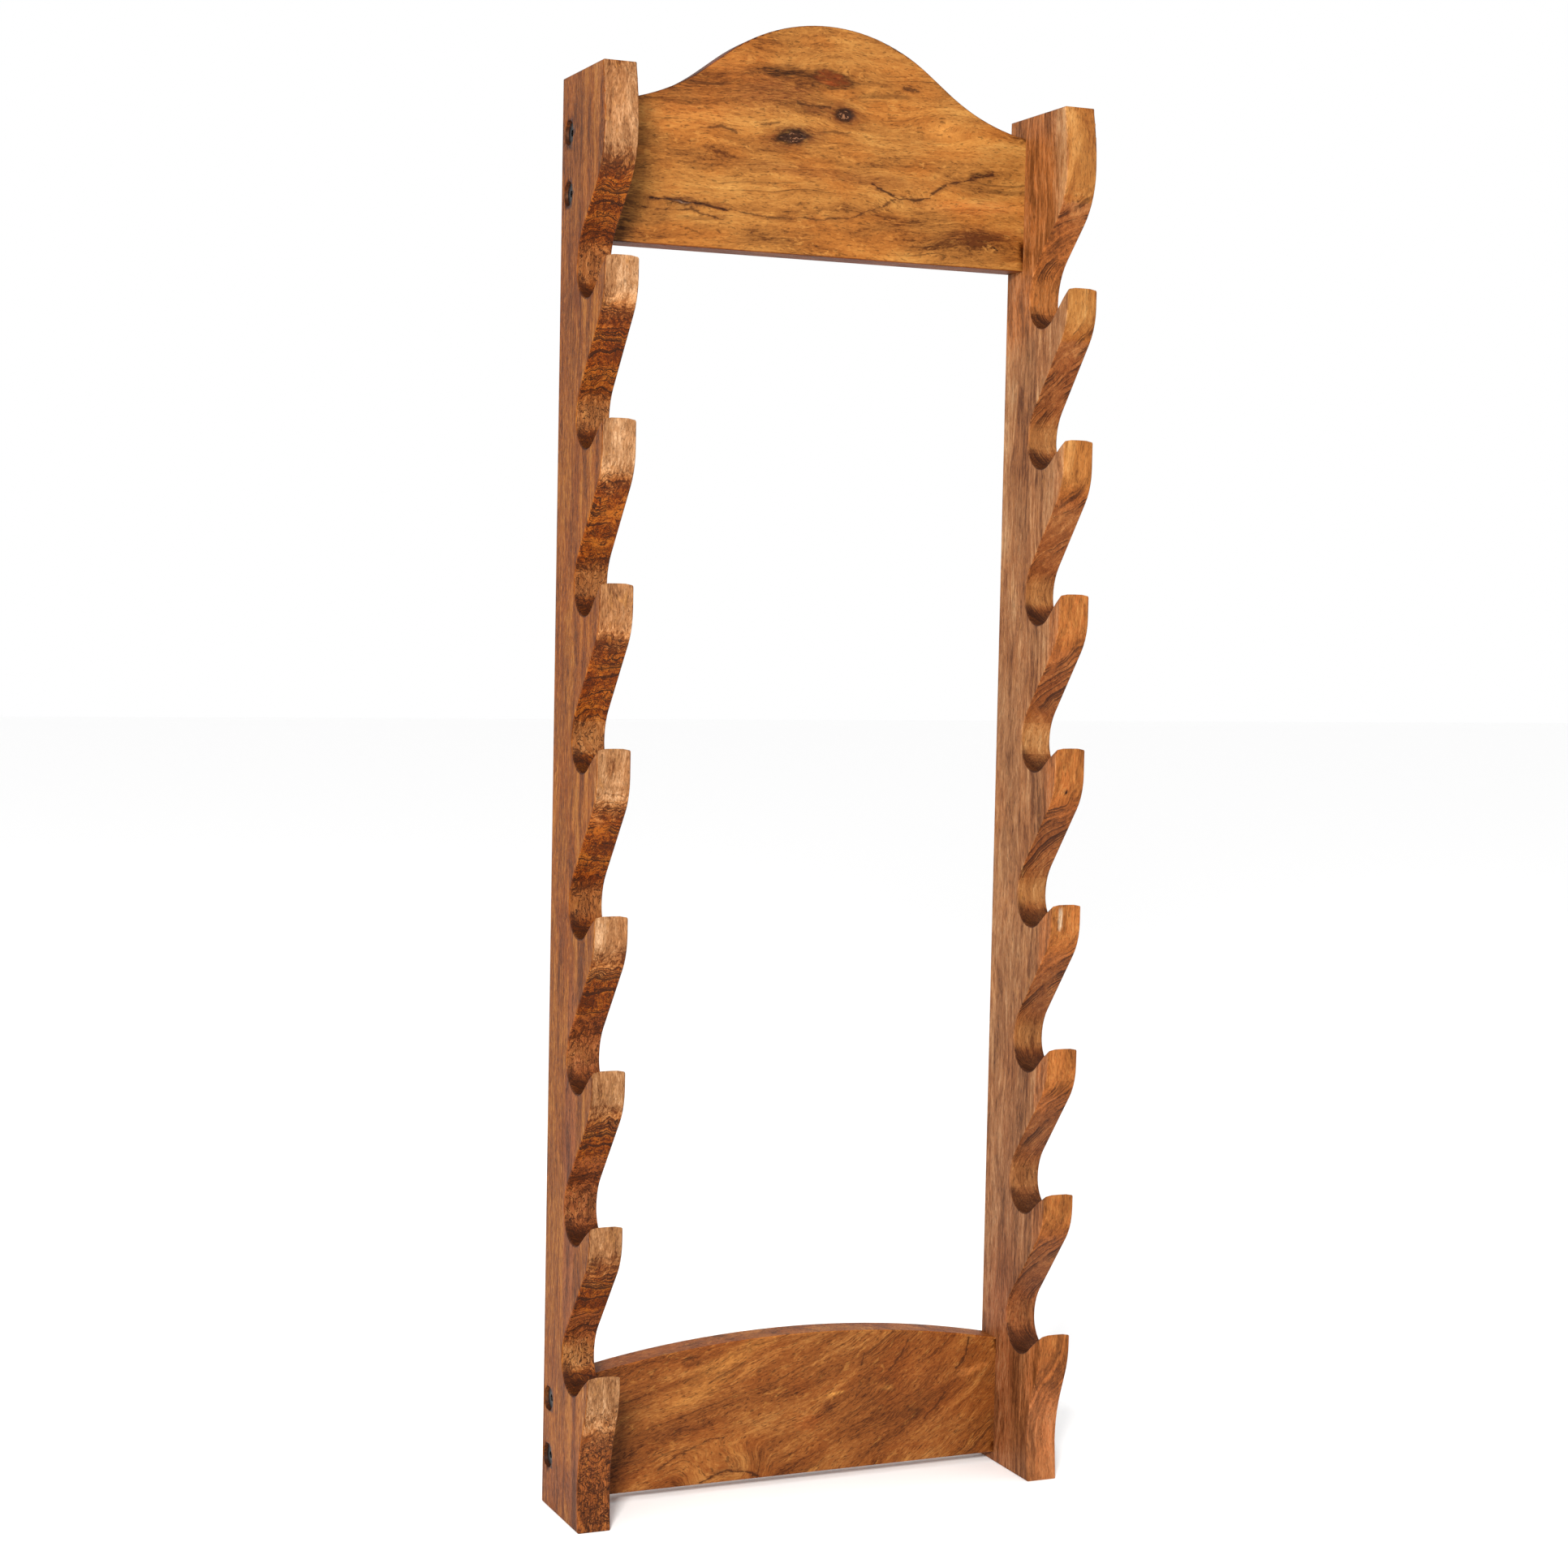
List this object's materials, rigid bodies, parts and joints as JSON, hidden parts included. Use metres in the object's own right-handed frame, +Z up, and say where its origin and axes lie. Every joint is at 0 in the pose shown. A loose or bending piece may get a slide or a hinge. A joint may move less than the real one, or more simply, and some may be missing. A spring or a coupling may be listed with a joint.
{
  "type": "weapon wall rack",
  "caption": "Scalloped hardwood wall rack that holds swords or staffs level in stacked notches between two uprights, with an arched crest board, a lower board and keyhole hangers.",
  "frame": {"origin": "middle of the rack's footprint, on the level of its feet", "axes": "+X to the right of someone facing the rack, +Y back into the wall, +Z up"},
  "size_m": [0.325, 0.081, 0.914],
  "materials": {
    "upright_wood": "satin oil",
    "crest_wood": "satin oil",
    "lower_wood": "satin oil",
    "bolt_steel": "dark zinc plate",
    "insert_brass": "turned",
    "hanger_steel": "zinc plate",
    "screw_steel": "zinc plate"
  },
  "bodies": {
    "root": {"left_upright": "upright_wood", "right_upright": "upright_wood", "crest_board": "crest_wood", "lower_board": "lower_wood", "bolt_crest_left_upper": "bolt_steel", "insert_crest_left_upper": "insert_brass", "bolt_crest_left_under": "bolt_steel", "insert_crest_left_under": "insert_brass", "bolt_crest_right_upper": "bolt_steel", "insert_crest_right_upper": "insert_brass", "bolt_crest_right_under": "bolt_steel", "insert_crest_right_under": "insert_brass", "bolt_lower_left_upper": "bolt_steel", "insert_lower_left_upper": "insert_brass", "bolt_lower_left_under": "bolt_steel", "insert_lower_left_under": "insert_brass", "bolt_lower_right_upper": "bolt_steel", "insert_lower_right_upper": "insert_brass", "bolt_lower_right_under": "bolt_steel", "insert_lower_right_under": "insert_brass", "hanger_plate_left": "hanger_steel", "hanger_screw_left_upper": "screw_steel", "hanger_screw_left_under": "screw_steel", "hanger_plate_right": "hanger_steel", "hanger_screw_right_upper": "screw_steel", "hanger_screw_right_under": "screw_steel"}
  },
  "joints": []
}
